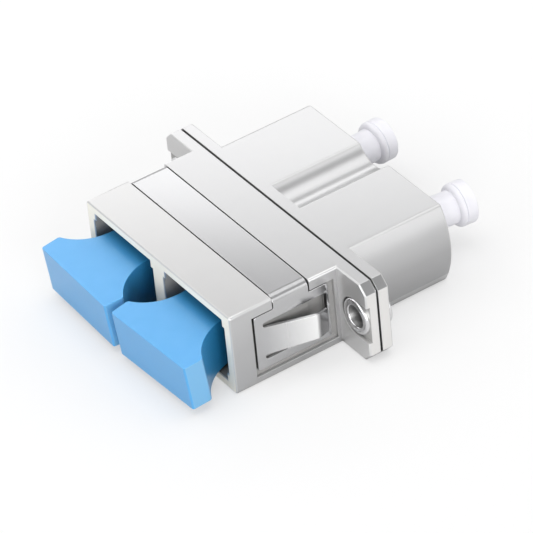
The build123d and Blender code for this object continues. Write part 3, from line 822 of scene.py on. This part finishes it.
# %% Rivet metal
rivet_metal, shader = new_finish("rolled_rivet_metal")
rings = place_noise(rivet_metal, 0.25, 3.0)
bore = marked_share(rivet_metal, "bore")
polished = tinted(rivet_metal, rings, (0.92, 0.92, 0.93), (0.95, 0.95, 0.96))
# painted shade: the bore dark grey
polished = blended(rivet_metal, bore, polished, (0.3, 0.3, 0.3))
# painted shade, nearly black, in the narrow gaps around the rivet heads
polished = blended(rivet_metal, crevice_shade_share(rivet_metal, 0.5), polished, painted_gap_shade)
set_input(rivet_metal, shader, "Base Color", polished)
smooth = between(rivet_metal, rings, 0.18, 0.2)
smooth = combined(rivet_metal, "MAXIMUM", smooth, combined(rivet_metal, "MULTIPLY", bore, 0.42))
set_input(rivet_metal, shader, "Roughness", smooth)
shader.inputs["Metallic"].default_value = 1.0
raised(rivet_metal, shader, rings, 0.0001)

# %% [markdown]
# ## Blue plastic
# The blue caps are a soft, slightly waxy moulding. Its colour is deep, and the pale blue that the eye
# sees on top is the room's light on the smooth skin, which a coat layer gives. The outer sides of the grip
# get painted light, a paler blue, and the waist gets painted shade, a deeper blue where the port closes
# it in.

# %% Blue plastic
waist_start_y, waist_shaded_y = -16.5 * MM, -15.0 * MM
blue_plastic, shader = new_finish("blue_cap_plastic")
mottle = place_noise(blue_plastic, 1.6, 2.0)
blue = tinted(blue_plastic, mottle, (0.06, 0.39, 0.80), (0.07, 0.405, 0.82))
# painted light: the outer sides of the grip a paler blue
blue = blended(blue_plastic, marked_share(blue_plastic, "gripped"), blue, (0.17, 0.48, 0.80))
along = place_along(blue_plastic, "Y")
# painted shade: the waist a deeper blue near the port, by ambient occlusion
waist_shade = between(blue_plastic, along, 0.0, 1.0, waist_start_y, waist_shaded_y)
waist_shade = combined(blue_plastic, "MULTIPLY", waist_shade, crevice_shade_share(blue_plastic, 5.0, 0.2, 0.84))
blue = blended(blue_plastic, waist_shade, blue, (0.0, 0.125, 0.27))
set_input(blue_plastic, shader, "Base Color", blue)
set_input(blue_plastic, shader, "Roughness", between(blue_plastic, mottle, 0.3, 0.36))
shader.inputs["Subsurface Weight"].default_value = 0.1
shader.inputs["Subsurface Radius"].default_value = (0.2, 0.6, 1.0)
shader.inputs["Subsurface Scale"].default_value = 0.8 * MM
shader.inputs["IOR"].default_value = 1.5
shader.inputs["Coat Weight"].default_value = 1.0
shader.inputs["Coat Roughness"].default_value = 0.35
shader.inputs["Coat IOR"].default_value = 1.7
raised(blue_plastic, shader, place_noise(blue_plastic, 0.09, 2.0), 0.0005)

# %% [markdown]
# ## White plastic, black plastic and ceramic
# The white caps let some light in, so their shadows stay pale, and the fine crease behind the head and
# other tight hollows get painted shade, a lavender grey. The carriers inside are plain black moulded
# plastic, and the sleeves are white ceramic, which is ground smooth.

# %% White plastic, black plastic and ceramic
white_plastic, shader = new_finish("white_cap_plastic")
haze = place_noise(white_plastic, 1.2, 2.0)
white = tinted(white_plastic, haze, (0.84, 0.835, 0.885), (0.865, 0.86, 0.905))
# painted shade, lavender grey, in the crease behind the head and other tight hollows
white = blended(white_plastic, crevice_shade_share(white_plastic, 0.3), white, (0.62, 0.60, 0.69))
set_input(white_plastic, shader, "Base Color", white)
set_input(white_plastic, shader, "Roughness", between(white_plastic, haze, 0.32, 0.4))
shader.inputs["Subsurface Weight"].default_value = 0.5
shader.inputs["Subsurface Radius"].default_value = (1.0, 1.0, 1.0)
shader.inputs["Subsurface Scale"].default_value = 0.4 * MM
raised(white_plastic, shader, place_noise(white_plastic, 0.08, 3.0), 0.001)

black_plastic, shader = new_finish("black_carrier_plastic")
grain = place_noise(black_plastic, 0.15, 4.0)
black = tinted(black_plastic, grain, (0.018, 0.018, 0.02), (0.03, 0.03, 0.032))
set_input(black_plastic, shader, "Base Color", black)
set_input(black_plastic, shader, "Roughness", between(black_plastic, grain, 0.42, 0.58))
raised(black_plastic, shader, grain, 0.004)

ceramic, shader = new_finish("white_sleeve_ceramic")
polish = place_noise(ceramic, 0.3, 3.0)
ivory = tinted(ceramic, polish, (0.80, 0.79, 0.76), (0.85, 0.84, 0.82))
set_input(ceramic, shader, "Base Color", ivory)
set_input(ceramic, shader, "Roughness", between(ceramic, polish, 0.12, 0.2))
raised(ceramic, shader, polish, 0.0005)

# %% [markdown]
# Each finish then goes to its pieces by the start of their names. The new pieces have no material yet.
# The carriers, holders and sleeves inside are the model's own pieces, and their plain material gives way.

# %% Give each finish to its pieces
piece_finishes = {
    "front_housing": cast_nickel,
    "rear_housing": cast_nickel,
    "panel_clip": clip_steel,
    "rolled_rivet": rivet_metal,
    "blue_cap": blue_plastic,
    "white_cap": white_plastic,
}
for piece in finished_pieces:
    for start, finish in piece_finishes.items():
        if piece.name.startswith(start):
            piece.data.materials.append(finish)
node_finishes = {
    "latch_carrier": black_plastic,
    "sleeve_holder": black_plastic,
    "alignment_sleeve": ceramic,
}
for name, node in nodes.items():
    for start, finish in node_finishes.items():
        if name.startswith(start):
            node.material_slots[0].material = finish
print("materials", len(bpy.data.materials))

# %% [markdown]
# ## Floor and light
# The adapter lies on a plain white table in a soft studio. A pale floor that is only lit would turn grey
# at its far side, so a little light of its own is added where the camera and shiny metal look at it. The
# lit part underneath keeps the soft shadow. The floor lies a hair below the adapter, because two faces in
# one plane flicker.

# %% Floor
floor_z, floor_half_side = -4.752 * MM, 1.5
camera_glow, mirror_glow = 0.45, 0.05
lit_white, mirrored_white = 0.48, 0.58
floor_build = bmesh.new()
bmesh.ops.create_grid(floor_build, x_segments=1, y_segments=1, size=floor_half_side)
bmesh.ops.translate(floor_build, vec=(0, 0, floor_z), verts=list(floor_build.verts))
floor_mesh = bpy.data.meshes.new("studio_floor")
floor_build.to_mesh(floor_mesh)
floor_build.free()
floor = bpy.data.objects.new("studio_floor", floor_mesh)
bpy.context.scene.collection.objects.link(floor)
print("floor at", round(floor_z / MM, 3), "mm")

table_white = bpy.data.materials.new("table_white")
table_white.use_nodes = True
tree = table_white.node_tree
tree.nodes.clear()
lit = tree.nodes.new("ShaderNodeBsdfDiffuse")
glow = tree.nodes.new("ShaderNodeEmission")
path = tree.nodes.new("ShaderNodeLightPath")
strength = 0.0
for ray, share in (("Camera", camera_glow), ("Glossy", mirror_glow), ("Transmission", camera_glow)):
    part = combined(table_white, "MULTIPLY", path.outputs["Is " + ray + " Ray"], share)
    strength = combined(table_white, "ADD", strength, part)
shade = between(table_white, path.outputs["Is Glossy Ray"], lit_white, mirrored_white, 0.0, 1.0)
add = tree.nodes.new("ShaderNodeAddShader")
output = tree.nodes.new("ShaderNodeOutputMaterial")
tree.links.new(shade, lit.inputs["Color"])
tree.links.new(strength, glow.inputs["Strength"])
tree.links.new(lit.outputs["BSDF"], add.inputs[0])
tree.links.new(glow.outputs["Emission"], add.inputs[1])
tree.links.new(add.outputs["Shader"], output.inputs["Surface"])
floor.data.materials.append(table_white)

# %% [markdown]
# Metal shows what stands around it, so the lamps are large and stand on a dome: one overhead, a strong
# one low on the right for the sides, and weak ones all round. A narrow one on the left is what the flat
# tops mirror, and it makes them brighter towards their far corner. The levels were found by rendering
# each lamp alone and choosing the sum that comes nearest to the tones of the photograph. A pale world
# fills the rest.

# %% Lamps and world
dome_radius, dome_lamp_side = 0.55, 0.40
dome_lamps = (
    # name, azimuth and elevation in degrees, brightness as a share of paper white
    ("overhead", 0, 90, 1.7),
    ("right", 340, 12, 4.0),
    ("right_back", 45, 15, 0.9),
    ("back", 90, 45, 0.75),
    ("left_low", 180, 15, 0.6),
    ("left_high", 195, 45, 0.7),
    ("front_high", 250, 45, 0.6),
    ("front_low", 275, 15, 1.8),
)
narrow_place, narrow_aim = (-0.0893, 0.0531, 0.0665), (-0.0067, 0.0040, -0.0054)
narrow_width, narrow_height, narrow_brightness = 0.16, 0.03, 1.2
world_brightness = 0.41


def soft_lamp(name, place, aim, width, height, radiance):
    """A flat lamp that faces a point, with its brightness given as a share of paper white."""
    data = bpy.data.lights.new(name, "AREA")
    data.shape = "RECTANGLE"
    data.size = width
    data.size_y = height
    data.energy = radiance * math.pi * width * height
    lamp = bpy.data.objects.new(name, data)
    lamp.location = place
    lamp.rotation_euler = (Vector(aim) - Vector(place)).to_track_quat("-Z", "Y").to_euler()
    bpy.context.scene.collection.objects.link(lamp)


for name, azimuth, elevation, radiance in dome_lamps:
    turn, height = math.radians(azimuth), math.radians(elevation)
    flat = dome_radius * math.cos(height)
    place = (flat * math.cos(turn), flat * math.sin(turn), dome_radius * math.sin(height))
    soft_lamp(name, place, (0, 0, 0), dome_lamp_side, dome_lamp_side, radiance)
soft_lamp("strip_left", narrow_place, narrow_aim, narrow_width, narrow_height, narrow_brightness)

world = bpy.data.worlds.new("studio")
bpy.context.scene.world = world
world.use_nodes = True
world.node_tree.nodes["Background"].inputs["Color"].default_value = (1, 1, 1, 1)
world.node_tree.nodes["Background"].inputs["Strength"].default_value = world_brightness
print("lamps", len(dome_lamps) + 1)

# %% [markdown]
# ## The last update
# The dressed object may not be larger than the model, because the model's sizes are the true ones.

# %% Update the scene
bpy.context.view_layer.update()
